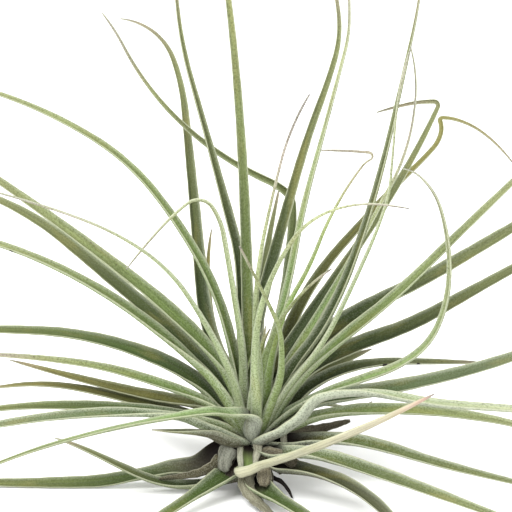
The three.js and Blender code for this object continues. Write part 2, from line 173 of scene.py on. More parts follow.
LEAVES = {
    # the heart
    "inner_1": Leaf("heart", 34, 2.6, (270, 80), -5,
        path=[(0.3, 92), (0.6, 76), (1, 62)],
        sheath=4.4),
    "inner_2": Leaf("heart", 30, 2.6, (150, 80), 0,
        path=[(0.3, 92), (0.6, 74), (1, 68)]),
    "inner_3": Leaf("heart", 30, 2.4, (62, 80), 18,
        path=[(0.5, 84), (1, 80)]),
    # the upright and arching leaves above it
    "crown_1": Leaf("frost", 164, 4.6, (25, 70), 5,
        path=[(0.06, 86), (0.2, 75), (0.36, 80), (0.55, 75), (0.8, 76), (0.87, 90), (1, 100)]),
    "crown_2": Leaf("grey", 204, 4.2, (95, 70), 5,
        path=[(0.08, 94), (0.25, 91), (0.6, 95), (1, 102)],
        wide=4.9),
    "crown_3": Leaf("fresh", 199, 5, (155, 70), 0,
        path=[(0.06, 98), (0.17, 105), (0.3, 118), (0.44, 127), (0.58, 147), (0.76, 161), (1, 170)],
        wide=5.6),
    "crown_4": Leaf("frost", 122, 3.6, (215, 70), -8,
        path=[(0.08, 88), (0.3, 98), (0.58, 99), (0.67, 122), (0.75, 217), (0.85, 227), (1, 232)],
        lean=0.65),
    "crown_5": Leaf("fresh", 74, 3.4, (275, 70), -20,
        path=[(0.2, 81), (0.45, 74), (0.7, 58), (1, 41)],
        lean=1.6),
    "crown_6": Leaf("heart", 128, 3.4, (330, 70), -12,
        path=[(0.08, 88), (0.25, 76), (0.42, 63), (0.56, 72), (0.7, 64), (0.82, 56), (0.85, 30),
              (0.862, 110), (0.875, 172), (1, 177)],
        tip=0.8, wide=4, lean=1.3),
    "crown_7": Leaf("grey", 180, 4.8, (54, 60), 36,
        path=[(0.06, 86), (0.14, 69), (0.24, 79), (0.4, 86, 32), (0.438, 96, 20), (0.468, 140, 6),
              (0.51, 156, 4), (0.6, 148, 4), (0.7, 139, 4), (0.8, 129, 4), (0.92, 117, 4), (1, 128, 4)]),
    "crown_8": Leaf("deep", 178, 5.4, (97, 60), 28,
        path=[(0.1, 86), (0.24, 73), (0.5, 72), (0.66, 67), (0.76, 72), (0.86, 96), (1, 112)]),
    "crown_9": Leaf("deep", 175, 5, (135, 60), 22,
        path=[(0.06, 86), (0.28, 94), (0.36, 106), (0.7, 107), (0.86, 96), (1, 96)],
        wide=5.8),
    "crown_10": Leaf("frost", 161, 3.4, (220, 60), -25,
        path=[(0.06, 96), (0.15, 108), (0.4, 117), (0.55, 136), (0.7, 150), (0.85, 155), (1, 160)],
        lean=0.9, tip=0.75),
    "crown_11": Leaf("frost", 140, 4.6, (270, 60), -21,
        path=[(0.08, 84), (0.22, 93), (0.4, 88), (0.6, 80), (0.8, 78), (1, 63)],
        tip=0.8, wide=4.8, lean=2.8),
    "crown_12": Leaf("fresh", 93, 3.6, (306, 60), -30,
        path=[(0.1, 66), (0.3, 88), (0.45, 93), (0.6, 110), (1, 112)],
        lean=1.8, tip=0.99),
    "crown_13": Leaf("frost", 132, 3.4, (278, 50), -22,
        path=[(0.1, 95), (0.3, 87), (0.5, 72), (0.66, 61), (0.8, 27), (0.94, -1), (1, -4)],
        lean=1.6),
    "crown_14": Leaf("deep", 168, 6, (112, 50), 30,
        path=[(0.07, 134), (0.16, 112), (0.3, 96), (0.7, 97), (0.82, 112), (0.92, 153), (1, 180)],
        wide=6.6),
    "crown_15": Leaf("olive", 82, 4.2, (125, 40), 50,
        path=[(0.2, 119), (0.4, 107), (0.7, 94), (1, 78)],
        tip=0.99),
    # to the left, from high to low
    "left_1": Leaf("fresh", 161, 5.6, (178, 60), -7,
        path=[(0.05, 98), (0.12, 121), (0.24, 132), (0.4, 138), (0.7, 141), (1, 143)],
        facing=30, lean=0.6, wide=6.4),
    "left_2": Leaf("deep", 147, 5.4, (152, 50), 18,
        path=[(0.05, 118), (0.14, 136), (0.3, 143), (0.6, 144), (0.8, 160), (1, 166)],
        facing=30, lean=0.6, wide=7.2),
    "left_3": Leaf("fresh", 154, 5.6, (192, 50), 8,
        path=[(0.05, 115), (0.14, 137), (0.3, 143), (0.5, 153), (0.68, 163), (1, 172)],
        marks=((0.66, 0.6, 0.9),), facing=30, lean=0.55, wide=6.6),
    "left_4": Leaf("fresh", 100, 5.8, (178, 38), -1,
        path=[(0.08, 145), (0.2, 158), (0.4, 162), (0.6, 171), (0.85, 176), (1, 177)],
        facing=30, lean=0.8, wide=5.4, tip=0.86),
    "left_5": Leaf("mid", 158, 7, (155, 30), 25,
        path=[(0.05, 130), (0.12, 149), (0.22, 164), (0.36, 174), (0.54, 186), (0.75, 190), (1, 196)],
        facing=30, lean=0.7, wide=7.2),
    "left_6": Leaf("blue", 125, 5.6, (213, 27), -8,
        path=[(0.08, 160), (0.13, 167), (0.24, 173), (0.4, 180), (0.6, 186), (0.8, 191), (1, 198)],
        base=4.4, facing=30, lean=0.65, wide=6.2, neck=((-1.5, -4.5, 18.3), (-6, -6.5, 19.8),
        (-10.5, -7.5, 22.4), (-16, -8, 25.2)), join=22),
    "left_7": Leaf("olive", 108, 5.4, (145, 18), 35,
        path=[(0.06, 158), (0.13, 180), (0.22, 186), (0.5, 181), (1, 179)],
        facing=30, lean=0.65, wide=6),
    "left_8": Leaf("mid", 122, 5, (172, 17), 18,
        path=[(0.05, 166), (0.12, 180), (0.4, 183), (0.6, 189), (0.75, 194), (1, 200)],
        facing=30, lean=0.65, wide=6),
    "left_9": Leaf("olive", 134, 4.6, (160, 3), 38,
        path=[(0.05, 160), (0.1, 181), (0.5, 185), (0.62, 191), (0.8, 202), (1, 206)],
        facing=30, lean=0.65, wide=5.4),
    "left_10": Leaf("worn", 36, 3.8, (232, 14), -28,
        path=[(0.2, 154), (0.6, 166), (1, 162)],
        bare=34, tip=0.99, sheath=6.6, facing=30, lean=1.05, wide=7.4, neck=((-3, -4, 17.2),
        (-6.5, -7, 18.8), (-11, -10.5, 21.6)), join=14),
    # from the foot, along the surface
    "low_1": Leaf("mid", 104, 6, (190, -5, 13), 0,
        path=[(0.11, 204), (0.2, 193), (0.42, 191), (0.56, 185), (0.72, 175), (1, 174)],
        base=6, bare=40, facing=30, lean=0.55, wide=6.6, sheath=7.4, clasp=-30, cup=0.6, neck=((-3, -3, 12),
        (-8.6, -4.2, 15.2), (-13.6, -4.4, 13.4), (-17.8, -4, 10.2), (-22.5, -3.4, 8)), join=22),
    "low_2": Leaf("deep", 68, 5.6, (200, -8, 3.4), -13,
        path=[(0.1, 186), (0.25, 171), (0.34, 163), (0.42, 155), (0.52, 148), (0.7, 146), (0.85, 149),
              (1, 155)],
        base=5, facing=20, lean=0.6, wide=5.6, bare=20, sheath=6.5),
    "low_3": Leaf("mid", 74, 7, (230, -10, 10), -45,
        path=[(0.15, 197), (0.3, 194), (1, 200)],
        base=6, clasp=-12, lean=0.65, wide=6.4, bare=15, sheath=8.6),
    "low_4": Leaf("mid", 81, 7.4, (268, -10, 9), -60,
        path=[(0.05, -60), (0.11, -3), (0.26, 9), (0.6, 4), (1, -15)],
        base=6, clasp=10, lean=0.65, wide=6.6, bare=20, sheath=8.6, cup=0.5),
    "low_5": Leaf("shade", 76, 6.6, (305, -8, 12), -38,
        path=[(0.1, 15), (0.25, 6), (0.38, -4), (0.5, -17), (0.64, -30), (0.75, -45), (1, -42)],
        base=6.6, facing=20, lean=0.55, wide=7.4, bare=24, sheath=7.4),
    "low_6": Leaf("speckled", 114, 6, (295, 0, 17), -23,
        path=[(0.08, 18), (0.2, -3), (0.3, -10), (0.5, -12), (1, -13)],
        base=4.2, facing=30, lean=0.9, wide=7.6, bare=20, sheath=7.4),
    "low_7": Leaf("speckled", 111, 6, (326, 10, 18), -8,
        path=[(0.06, 17), (0.15, 3), (0.22, -1), (0.3, -10), (0.42, -16), (0.6, -12), (1, -10)],
        base=5, bare=34, facing=30, lean=1, wide=7.6, sheath=6.4),
    # bent over in front, and bent and dried
    "folded_1": Leaf("folded", 128, 5, (272, 38), -15,
        path=[(0.05, 86, -40), (0.1, 158, -20, -50), (0.14, 172, -15, -70), (0.27, 184, -15, -70),
              (0.4, 186, -15, -60), (0.6, 191, -15, -60), (0.8, 198, -15, -60), (1, 205, -12, -60)],
        base=5, hollow=0.25, lean=0.7, bare=22, sheath=5.9, neck=((-0.7, -5.5, 19.5), (-0.8, -8.5, 22.5),
        (-0.6, -10.5, 26.5), (-0.2, -11.8, 30.3), (-3.5, -13, 32.5), (-8.8, -14.5, 33.1)), join=26,
        clasp=0),
    "folded_2": Leaf("straw", 84, 4.4, (262, -10, 17), -12,
        path=[(0.06, 258, -60), (0.105, 374, -32, 10), (0.15, 388, -24, 20), (1, 396, -14, 20)],
        base=4.6, wide=5.2, lean=0.45, hollow=0.2, cup=0.45, sheath=4.6, bare=11, neck=((-1.2, -3, 17.6),
        (-1.5, -8, 17.2), (-1.7, -12.5, 14.8), (-2.6, -15.2, 12.6), (-4.4, -16.4, 11.6), (-5, -17.4, 11.7),
        (-4.2, -18.2, 12.2), (-1, -18.4, 13.3)), join=12, clasp=0, settle=2),
    # to the right, the broad silver one first
    "right_1": Leaf("silver", 133, 7, (302, 30), -11,
        path=[(0.06, 40), (0.13, 42), (0.22, 16), (0.37, -7), (0.44, -7), (0.56, 0), (0.7, 0), (1, -12)],
        base=5, sheath=7.4, facing=30, lean=0.48, wide=6.8, bare=20, neck=((0, -3, 17), (3, -7, 20.4),
        (6.4, -9, 23), (9.8, -10.3, 25), (13, -11.3, 27.8), (16.6, -12.3, 31)), join=26),
    "right_2": Leaf("fresh", 112, 5.6, (340, 20), 2,
        path=[(0.08, 25), (0.16, 11), (0.3, 1), (0.5, -6), (0.7, -12), (1, -26)],
        facing=30, lean=0.6, wide=6.8, bare=16),
    "right_3": Leaf("blue", 138, 5.8, (8, 28), 15,
        path=[(0.06, 27), (0.13, 9), (0.25, 3), (0.36, 6), (0.53, 10), (0.65, 14), (1, 18)],
        facing=30, lean=0.6, wide=7.4),
    "right_4": Leaf("frost", 133, 4.2, (340, 40), 0,
        path=[(0.05, 36), (0.2, 20), (0.32, 20), (0.42, 38), (0.52, 68), (0.65, 88), (0.85, 108),
              (0.95, 138), (1, 172)],
        facing=30, lean=0.6, wide=4.6),
    "right_5": Leaf("deep", 106, 5, (30, 18), 35,
        path=[(0.06, 54), (0.17, 26), (0.3, 8), (0.43, -6), (0.6, -15), (1, -16)],
        marks=((0.5, -0.9, 1.2), (0.66, -0.9, 0.9)), facing=30, lean=0.65, wide=6.6),
    "right_6": Leaf("deep", 60, 4.4, (55, 20), 45,
        path=[(0.12, 36), (0.3, 24), (0.6, 8), (1, 3)],
        tip=0.99, facing=30, lean=0.65, wide=6.6),
    "right_7": Leaf("deep", 168, 6.6, (42, 30), 28,
        path=[(0.04, 57), (0.1, 41), (0.2, 15), (0.33, 9), (0.48, 21), (0.65, 20), (1, 27)],
        facing=30, lean=0.7, wide=7.6),
    "right_8": Leaf("deep", 164, 6, (25, 40), 20,
        path=[(0.05, 70), (0.13, 53), (0.28, 26), (0.4, 19), (0.52, 25), (0.7, 26), (1, 22)],
        facing=30, lean=0.55, wide=7.6),
    "right_9": Leaf("fresh", 153, 5.6, (0, 50), 2,
        path=[(0.05, 58), (0.14, 47), (0.3, 39), (0.5, 46), (1, 45)],
        facing=30, lean=0.75, wide=6.4),
    "right_10": Leaf("deep", 160, 5.6, (72, 50), 28,
        path=[(0.07, 60), (0.18, 52), (0.32, 50), (0.5, 52), (0.7, 57), (0.84, 62), (0.86, 182, 10),
              (0.93, 196, 10), (1, 200, 10)],
        lean=0.8, wide=5.2),
    "right_11": Leaf("olive", 193, 5, (58, 40), 42,
        path=[(0.056, 80), (0.16, 62), (0.4, 38), (0.546, 38), (0.64, 32), (0.72, 38), (0.76, 70),
              (0.79, 110), (0.8, 0, 0), (0.83, -16, 0), (0.89, -36, 0), (0.94, -46, 0), (1, -54, 0)],
        wide=5.6),
    "right_12": Leaf("deep", 172, 6, (20, 60), 12,
        path=[(0.05, 60), (0.15, 51), (0.25, 62), (0.35, 69), (0.5, 74), (0.65, 77), (0.85, 78), (1, 86)],
        lean=1.0, wide=6.6),
    "right_13": Leaf("frost", 148, 6, (343, 60), -6,
        path=[(0.05, 57), (0.16, 53), (0.3, 66), (0.5, 69), (0.6, 74), (0.68, 87), (0.82, 87), (1, 73)],
        wide=5, lean=1.5),
    "right_14": Leaf("frost", 145, 4.8, (38, 50), 18,
        path=[(0.07, 68), (0.2, 56), (0.5, 60), (0.64, 60), (0.76, 74), (0.88, 87), (1, 106)],
        tip=0.75, lean=1.7),
    # behind the stem
    "back_1": Leaf("deep", 88, 5, (122, 18), 58,
        path=[(0.12, 175, 62), (0.4, 220, 54), (0.75, 228, 52), (1, 197, 61)]),
    "back_2": Leaf("mid", 98, 5, (98, 22), 70,
        path=[(0.15, 180, 80), (0.4, 244, 67), (0.75, 250, 60), (1, 219, 77)]),
    "back_3": Leaf("mid", 94, 5, (76, 22), 70,
        path=[(0.15, 0, 80), (0.4, -62, 66), (0.75, -68, 60), (1, -34, 76)]),
    "back_4": Leaf("deep", 86, 4.8, (62, 6), 57,
        path=[(0.15, 0), (0.4, -36, 54), (0.75, -42, 52), (1, -10, 60)]),
    "back_5": Leaf("deep", 120, 4.8, (88, 40), 60,
        path=[(0.2, 86, 50), (0.5, 80, 60), (1, 60, 80)]),
}


def direction(face, depth):
    """Unit vectors: the face angle turns from +X towards +Z, the depth angle then towards +Y."""
    face, depth = np.radians(face), np.radians(depth)
    return np.stack([np.cos(depth) * np.cos(face), np.sin(depth), np.cos(depth) * np.sin(face)], -1)


def smooth(value, low, high):
    """0 up to low, 1 from high on, and 3t^2 - 2t^3 between them."""
    t = np.clip((value - low) / (high - low), 0, 1)
    return t * t * (3 - 2 * t)


def blend(a, b, t):
    """a where t is 0, b where it is 1, and straight on between them."""
    return a + (b - a) * t


def unit(vectors):
    """Each vector over its length."""
    return vectors / np.linalg.norm(vectors, axis=-1, keepdims=True)


def root_of(leaf):
    """A leaf's root and the way straight off the stem there."""
    azimuth, elevation, *height = leaf.root
    a, e = np.radians(azimuth), np.radians(elevation)
    outward = np.array([np.cos(e) * np.cos(a), np.cos(e) * np.sin(a), np.sin(e)])
    reach = STEM_RADIUS + ROOT_GAP
    if height:
        return np.array([reach * np.cos(a), reach * np.sin(a), height[0]]), outward
    return outward * reach + (0, 0, CROWN_HEIGHT), outward


def headings(leaf):
    """Rows of share, face angle, depth angle and roll, the first of them straight off the stem."""
    rows = [(share, face, *rest, *(leaf.depth, 0)[len(rest):]) for share, face, *rest in leaf.path]
    outward = root_of(leaf)[1]
    face = np.degrees(np.arctan2(outward[2], outward[0]))
    face += 360 * round((rows[0][1] - face) / 360)
    return np.array([(0, face, np.degrees(np.arcsin(outward[1])), 0), *rows]).T


def midrib(leaf):
    """Points of the midrib: the root and the running sum of the headings.

    A point at height h over the room r that the section needs is lifted to r + (d + sqrt(d^2 + s^2)) / 2
    with d = h - r, so that a leaf which reaches the surface turns to lie along it.
    """
    at, face, depth, _ = headings(leaf)
    middle = (np.arange(STEPS) + 0.5) / STEPS
    steps = direction(np.interp(middle, at, face), np.interp(middle, at, depth)) * leaf.length / STEPS
    points = np.vstack([np.zeros(3), np.cumsum(steps, 0)]) + root_of(leaf)[0]
    share = np.linspace(0, 1, STEPS + 1)
    flare = smooth(share * leaf.length, 0, FLARE)
    blade = TIP_WIDTH + (leaf.width - TIP_WIDTH) * (1 - share) ** NARROWING
    width = blend(leaf.base or min(ROOT_WIDTH, leaf.width), blade, flare)
    room = width * blend(ROOT_HOLLOW, BLADE_HOLLOW, flare) / 2 + blend(ROOT_WALL, TIP_WALL, share)
    over = points[:, 2] - room
    points[:, 2] = room + (over + np.hypot(over, 2 * FLOOR_SOFTNESS)) / 2
    return points


# ---------------------------------------------------------------- meshes from rings of points
def skin_rings(name, rings):
    """A closed smooth-shaded mesh through rings of points in millimetres, an even number to a ring.

    Ring i and ring i + 1 are joined point by point, and each end is closed by strips between point j and
    point size - 1 - j of its ring.
    """
    count, size = rings.shape[:2]
    corner = np.arange(count * size).reshape(count, size)
    near, far = corner[:-1], corner[1:]
    sides = np.stack([near, far, np.roll(far, -1, 1), np.roll(near, -1, 1)], -1).reshape(-1, 4)
    low = np.arange(size // 2 - 1)
    start = np.stack([low, low + 1, size - 2 - low, size - 1 - low], -1)
    end = (start + (count - 1) * size)[:, ::-1]
    mesh = bpy.data.meshes.new(name)
    mesh.from_pydata((rings.reshape(-1, 3) * MM).tolist(), [], np.vstack([sides, start, end]).tolist())
    mesh.polygons.foreach_set("use_smooth", np.ones(len(mesh.polygons), bool))
    piece = bpy.data.objects.new(name, mesh)
    bpy.context.scene.collection.objects.link(piece)
    return piece


def keep(piece, name, *columns):
    """Keeps a vector for each point of the mesh, for its material to read."""
    vectors = np.stack(np.broadcast_arrays(*columns), -1).astype(np.float32)
    layer = piece.data.attributes.new(name, "FLOAT_VECTOR", "POINT")
    layer.data.foreach_set("vector", vectors.reshape(-1))


def carried(along, first):
    """A sideways vector carried along a line: at each ring the last one, made square to the line."""
    across, side = np.empty_like(along), first
    for ring, ahead in enumerate(along):
        side = unit(side - ahead * (side @ ahead))
        across[ring] = side
    return across


def turned(across, along, degrees):
    """The sideways vectors turned round the line."""
    angle = np.radians(degrees)[:, None]
    return across * np.cos(angle) + np.cross(along, across) * np.sin(angle)


def stations(line, spacing, turn):
    """Distances along a line, and those of its rings: one every spacing or every turn in degrees."""
    step = np.linalg.norm(np.diff(line, axis=0), axis=1)
    along = unit(np.diff(line, axis=0))
    bend = np.degrees(np.arccos(np.clip((along[1:] * along[:-1]).sum(1), -1, 1)))
    distance = np.concatenate([[0], np.cumsum(step)])
    effort = np.concatenate([[0], np.cumsum(step / spacing + np.append(bend, 0) / turn)])
    count = int(np.ceil(effort[-1]))
    return distance, np.interp(np.linspace(0, effort[-1], count + 1), effort, distance)


# ---------------------------------------------------------------- leaves
ACROSS = 13  # points across a face of a blade
THREAD = 0.5  # a leaf's width at its tip
STEEP = 45  # leaves whose roots have a higher elevation than this rise further before they meet their lines
STEEP_JOIN, FLAT_JOIN = 16, 9  # how far along its line a leaf meets it
START_REACH = 0.24  # a sheath starts this share of the root's distance from the stem's axis
START_DROP = 3  # and this much lower than the root's height or the crown's middle
LOWEST_START = 1.2
NECK_POINTS = 160  # along a sheath
RING_SPACING, RING_TURN = 1.9, 8  # a ring comes at least this often, in millimetres or degrees of bend
MARGIN_WALL = 0.2
ROOT_THICKNESS, TIP_THICKNESS = 0.7, 0.42
SURFACE_GAP = 0.05  # nothing comes lower than this above the surface
TUCKED = 8  # a sheath keeps its own section this far from its start
FACING_REACH = 30  # a blade has turned to the front this far past the sheath
WANDER_TURN = 4  # a blade's slow irregular roll, in degrees
WANDER_WAVES = (0.02, 0.045, 0.08)  # in radians to a millimetre
SHEATH_BY_WIDTH, SHEATH_RANGE = 1.15, (3.6, 6.4)
START_WIDTH, START_FLARE = 3.2, 7  # a sheath is this wide at its start, and full at that distance
END_WIDTH, END_TAPER = 0.25, 6  # the tip narrows to this share of its width over its last millimetres
TIP_FLATNESS = 0.75  # a blade's hollow is this much shallower at its tip


def curve_through(knots, first, last, count):
    """Cubic pieces through the knots, each knot's tangent half the chord between its neighbours.

    A piece is h1 P + h2 T + h3 Q + h4 U, with P, Q its ends, T, U their tangents and h the Hermite basis.
    """
    tangent = np.empty_like(knots)
    tangent[1:-1] = (knots[2:] - knots[:-2]) / 2
    tangent[0] = first * np.linalg.norm(knots[1] - knots[0])
    tangent[-1] = last * np.linalg.norm(knots[-1] - knots[-2])
    t = np.linspace(0, 1, count, endpoint=False)[:, None]
    pieces = ((2 * t**3 - 3 * t**2 + 1) * knots[:-1, None] + (t**3 - 2 * t**2 + t) * tangent[:-1, None]
              + (3 * t**2 - 2 * t**3) * knots[1:, None] + (t**3 - t**2) * tangent[1:, None])
    return pieces.reshape(-1, 3)


def sheathed_line(leaf):
    """The midrib from inside the rosette to the tip, each point's share of the leaf, and where they meet.

    A leaf with no neck of its own starts beside the stem's axis, on the side that its root is on, and
    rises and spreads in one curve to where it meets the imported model's line.
    """
    line = midrib(leaf)
    share = np.linspace(0, 1, STEPS + 1)
    kept = share * leaf.length >= (leaf.join or (STEEP_JOIN if leaf.root[1] > STEEP else FLAT_JOIN))
    join, ahead = line[kept][0], unit(line[kept][1] - line[kept][0])
    root, _ = root_of(leaf)
    radius = np.hypot(root[0], root[1])
    outward = np.array([root[0], root[1], 0]) / radius
    height = (CROWN_HEIGHT if len(leaf.root) == 2 else root[2]) - START_DROP
    start = outward * START_REACH * radius + (0, 0, max(LOWEST_START, height))
    knots = np.array([*(leaf.neck or [start]), join])
    first = unit(outward * 0.5 + (0, 0, 1)) if not leaf.neck else unit(knots[1] - knots[0])
    rise = curve_through(knots, first, ahead, NECK_POINTS // len(knots))
    risen = np.linspace(0, share[kept][0], len(rise), endpoint=False)
    return np.vstack([rise, line[kept]]), np.concatenate([risen, share[kept]]), len(rise)


def make_blade(name, points, across, along, width, channel, thick, share, seed):
    """A channelled blade.

    Its upper face is an arc over each ring's chord w: x = w/2 sin(a u) / sin(a) and
    y = w/2 (1 - cos(a u)) / sin(a) for u from -1 to 1, with a = 2 atan(2 channel), which makes the arc
    channel times w deep. The lower face lies outside it by the wall's thickness, which falls towards the
    margins as (1 - u^2)^0.8 does.
    """
    up = np.cross(along, across)
    u = np.linspace(-1, 1, ACROSS)
    angle = 2 * np.arctan(2 * channel)[:, None]
    half = (width / 2)[:, None]
    x = half * np.sin(angle * u) / np.sin(angle)
    y = half * (1 - np.cos(angle * u)) / np.sin(angle) - (width * channel / 2)[:, None]
    wall = blend(MARGIN_WALL, thick[:, None], (1 - u**2) ** 0.8)
    below_x, below_y = x + wall * np.sin(angle * u), y - wall * np.cos(angle * u)
    ring_x, ring_y = np.hstack([x, below_x[:, ::-1]]), np.hstack([y, below_y[:, ::-1]])
    rings = points[:, None] + across[:, None] * ring_x[..., None] + up[:, None] * ring_y[..., None]
    rings[..., 2] = np.maximum(rings[..., 2], SURFACE_GAP)
    piece = skin_rings(name, rings)

    distance = np.concatenate([[0], np.cumsum(np.linalg.norm(np.diff(points, axis=0), axis=1))])
    both = np.concatenate([u, u[::-1]])
    upper = np.repeat([1.0, 0.0], ACROSS)
    keep(piece, "place", share[:, None], both, upper)
    keep(piece, "skin", half * angle / np.sin(angle) * both, distance[:, None], seed * 7.3 + 3 * upper)
    return piece


def make_leaf(name, leaf, seed):
    """A leaf from its clasping sheath to its thread-like tip.

    The blade's chord is e + (w - e) (1 - share)^lean, with w its width and e THREAD, and it grows out of
    the sheath's chord past where the two lines meet. Two small sines ripple it.
    """
    rng = np.random.default_rng(seed)
    line, line_share, meeting = sheathed_line(leaf)
    distance, at = stations(line, RING_SPACING, RING_TURN)
    points = np.stack([np.interp(at, distance, line[:, k]) for k in range(3)], -1)
    share = np.interp(at, distance, line_share)
    along = unit(np.gradient(points, at, axis=0))
    azimuth = np.radians(leaf.root[0])
    across = carried(along, np.array([-np.sin(azimuth), np.cos(azimuth), 0]))

    rise = distance[meeting]
    out = smooth(at, min(TUCKED, rise * 0.5), rise + leaf.settle)
    heads = headings(leaf)
    roll = np.interp(share, heads[0], heads[3])
    wander = rng.uniform(-1, 1, 3) @ np.sin(np.outer(WANDER_WAVES, at) + rng.uniform(0, 6, (3, 1)))
    roll = roll + leaf.facing * across[:, 1] * smooth(at, rise, rise + FACING_REACH)
    across = turned(across, along, roll + leaf.clasp * (1 - out) + WANDER_TURN * wander * out)

    wide = leaf.wide or leaf.width
    sheath = leaf.sheath or np.clip(wide * SHEATH_BY_WIDTH, *SHEATH_RANGE)
    ripple = 1 + 0.02 * np.sin(at / 3.1 + seed) + 0.015 * np.sin(at / 1.3 + 2 * seed)
    clasping = blend(min(START_WIDTH, sheath), sheath, smooth(at, 0, START_FLARE))
    blade = THREAD + (wide - THREAD) * (1 - share) ** leaf.lean
    taper = blend(END_WIDTH, 1, np.clip((at[-1] - at) / END_TAPER, 0, 1) ** 0.6)
    width = blend(clasping, blade, out) * ripple * taper
    channel = blend(leaf.cup, leaf.hollow, out) * blend(1, TIP_FLATNESS, share)
    thick = blend(ROOT_THICKNESS, TIP_THICKNESS, share)
    return make_blade(name, points, across, along, width, channel, thick, share, seed)


# ---------------------------------------------------------------- materials
LIGHT_LEVEL = 2.0  # the studio shows a surface this much brighter than it is, for a plain white floor
GLOSS = 0.18


def linear(code):
    """The red, green, blue and alpha that a surface needs to look like #8fa45f, say, in this light."""
    shown = np.array([int(code[i:i + 2], 16) for i in (1, 3, 5)]) / 255
    level = np.where(shown <= 0.04045, shown / 12.92, ((shown + 0.055) / 1.055) ** 2.4)
    return (*(level / LIGHT_LEVEL), 1)


class Paint:
    """A material in the making: each method adds a node and gives its output socket."""

    def __init__(self, name):
        self.material = bpy.data.materials.new(name)
        self.material.use_nodes = True
        self.tree = self.material.node_tree
        self.shader = self.tree.nodes["Principled BSDF"]

    def join(self, value, socket):
        """Links an output, or sets a plain value."""
        if isinstance(value, bpy.types.NodeSocket):
            self.tree.links.new(value, socket)
        else:
            socket.default_value = value

    def add(self, kind, inputs, output=0, **settings):
        """A shader node of a kind, with its inputs and settings."""
        node = self.tree.nodes.new("ShaderNode" + kind)
        for key, value in settings.items():
            setattr(node, key, value)
        for key, value in inputs.items():
            self.join(value, node.inputs[key])
        return node.outputs[output]

    def parts(self, attribute):
        """The three numbers of one of the vectors that keep() keeps."""
        vector = self.add("Attribute", {}, "Vector", attribute_name=attribute)
        return vector, *self.add("SeparateXYZ", {0: vector}).node.outputs

    def math(self, operation, a, b=0.0, c=0.0):
        return self.add("Math", {0: a, 1: b, 2: c}, operation=operation)

    def times(self, a, b):
        return self.math("MULTIPLY", a, b)

    def spread(self, value, low, high, to_low=0.0, to_high=1.0):
        """value from low to high, made to run smoothly from to_low to to_high."""
        inputs = {"Value": value, "From Min": low, "From Max": high, "To Min": to_low, "To Max": to_high}
        return self.add("MapRange", inputs, interpolation_type="SMOOTHSTEP")

    def noise(self, vector, scale, detail=2.0, roughness=0.5):
        """Noise with scale waves to a millimetre, across the piece, along it, and from piece to piece."""
        scaled = self.add("VectorMath", {0: vector, 1: scale}, operation="MULTIPLY")
        inputs = {"Vector": scaled, "Scale": 1.0, "Detail": detail, "Roughness": roughness}
        return self.add("TexNoise", inputs)

    def mix(self, factor, a, b, blend_type="MIX"):
        """a where the factor is 0 and b where it is 1, each a colour's code or an output."""
        a, b = (linear(color) if isinstance(color, str) else color for color in (a, b))
        return self.add("Mix", {0: factor, 6: a, 7: b}, 2, data_type="RGBA", blend_type=blend_type)

    def ramp(self, factor, stops):
        """A colour that runs through (position, code) stops."""
        color = self.add("ValToRGB", {"Fac": factor})
        elements = color.node.color_ramp.elements
        while len(elements) < len(stops):
            elements.new(0.5)
        for element, (position, code) in zip(elements, stops):
            element.position, element.color = position, linear(code)
        return color

    def finish(self, color, roughness, height, depth):
        """Joins colour, roughness and relief to the shader. depth is the relief's in millimetres."""
        bump = self.add("Bump", {"Height": height, "Distance": depth * MM, "Strength": 1.0})
        self.join(bump, self.shader.inputs["Normal"])
        self.join(color, self.shader.inputs["Base Color"])
        self.join(roughness, self.shader.inputs["Roughness"])
        self.shader.inputs["Specular IOR Level"].default_value = GLOSS
        return self.material


@dataclass
class Skin:
    """Colours of a leaf: its outer face, which silver scales cover, and its greener inner face."""

    base: str  # the sheath
    outer: str
    inner: str
    far: str  # both faces near the tip
    tip: str
    frost: float  # how much of the outer face the scales cover


SKINS = {
    "heart": Skin("#a1ad80", "#96b15e", "#7c9e3e", "#a9b374", "#b8ad8c", 0.4),
    "fresh": Skin("#a3ac8c", "#9aaf6c", "#738947", "#9fa472", "#aea491", 0.55),
    "grey": Skin("#9ea58a", "#919f63", "#6b7c40", "#949a68", "#a9a195", 0.55),
    "mid": Skin("#625d49", "#738446", "#465c22", "#788049", "#a3957c", 0.42),
    "deep": Skin("#605b47", "#747f4a", "#374716", "#828757", "#a39680", 0.45),
    "worn": Skin("#5c5745", "#626745", "#364017", "#787a4f", "#a39680", 0.4),
    "speckled": Skin("#5a5543", "#8d956c", "#5f6e3a", "#888f5e", "#a39680", 0.8),
    "folded": Skin("#a3a797", "#8fa063", "#8ba566", "#7e8a50", "#a3957c", 0.45),
    "olive": Skin("#6f6952", "#80814b", "#565a23", "#8f8a4d", "#ab9c80", 0.34),
    "frost": Skin("#b0b6a0", "#b1c18c", "#8ba562", "#bcc092", "#c0b4a6", 0.7),
    "blue": Skin("#929a80", "#87966d", "#566a3f", "#858f69", "#b0aa98", 0.7),
    "silver": Skin("#b1b2a8", "#c3c9b4", "#99a97b", "#c6cba4", "#beb2a4", 0.8),
    "shade": Skin("#4c4437", "#57543c", "#353a1b", "#606245", "#9c8f78", 0.35),
    "straw": Skin("#8a9760", "#d3d1b3", "#7f9552", "#dad1b5", "#cfae9c", 0.12),
}
SCALES = "#cdd5bb"
BETWEEN_SCALES = "#505837"
# a pale margin, partly a painted highlight along the edge
PALE_MARGIN_AND_HIGHLIGHT = "#cdd0ac"
YELLOWED = "#a39a50"
SOIL = "#4a3a28"
THREAD_COLOR = "#928987"
# dead tissue and dead spots, and painted shade in the hollows of sheaths
DEAD_TISSUE_AND_SHADE = "#231b16"
DRY_SCALES = "#c3c0ad"
BETWEEN_DRY_SCALES = "#2e281f"
TORN_BARK = "#171210"

